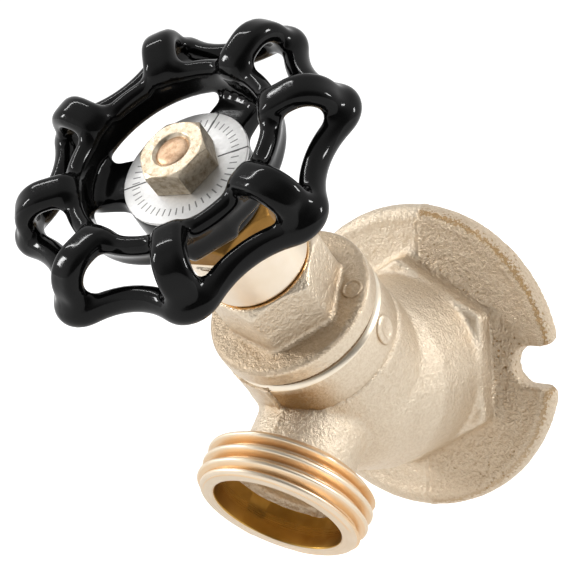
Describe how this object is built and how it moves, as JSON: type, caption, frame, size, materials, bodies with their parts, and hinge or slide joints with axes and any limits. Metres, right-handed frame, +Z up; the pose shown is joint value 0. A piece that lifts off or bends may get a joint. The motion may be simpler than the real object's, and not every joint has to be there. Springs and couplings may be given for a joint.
{
  "type": "sillcock",
  "caption": "Outdoor wall tap with a slotted round wall flange, an inclined stem, a wavy spoked handwheel and a hose-threaded outlet that points down and forward.",
  "frame": {"origin": "centre of the wall flange's back face, where the supply pipe enters", "axes": "+Y into the wall along the inlet thread, +Z up, X across the plane of symmetry of the casting"},
  "size_m": [0.0514, 0.0816, 0.084],
  "materials": {
    "cast_brass": "sand-cast satin",
    "turned_brass": "machined",
    "stem_bronze": "machined",
    "gasket_fibre": "matt",
    "packing_rubber": "matt",
    "black_enamel": "gloss",
    "label_aluminium": "satin",
    "nut_nickel": "plated satin"
  },
  "bodies": {
    "housing": {"valve_body": "cast_brass", "bonnet_gasket": "gasket_fibre", "bonnet": "cast_brass", "packing_washer": "turned_brass", "packing": "packing_rubber", "packing_gland": "turned_brass", "packing_nut": "turned_brass"},
    "disc_assembly": {"disc_holder": "turned_brass", "seat_washer": "packing_rubber", "washer_screw": "turned_brass"},
    "spindle": {"stem": "stem_bronze", "handwheel": "black_enamel", "label_disc": "label_aluminium", "handle_nut": "nut_nickel"}
  },
  "joints": [
    {"name": "stem_lift", "type": "slide", "parent": "housing", "child": "disc_assembly", "axis": [0, -0.7071, 0.7071], "range_m": [0, 0.006]},
    {"name": "handwheel_turn", "type": "hinge", "parent": "disc_assembly", "child": "spindle", "pos_m": [0, -0.02307, 0], "axis": [0, -0.7071, 0.7071], "range_deg": [0, 1080]}
  ],
  "couplings": [
    {"joint": "handwheel_turn", "follows": "stem_lift", "rad_per_m": 3141.6}
  ]
}
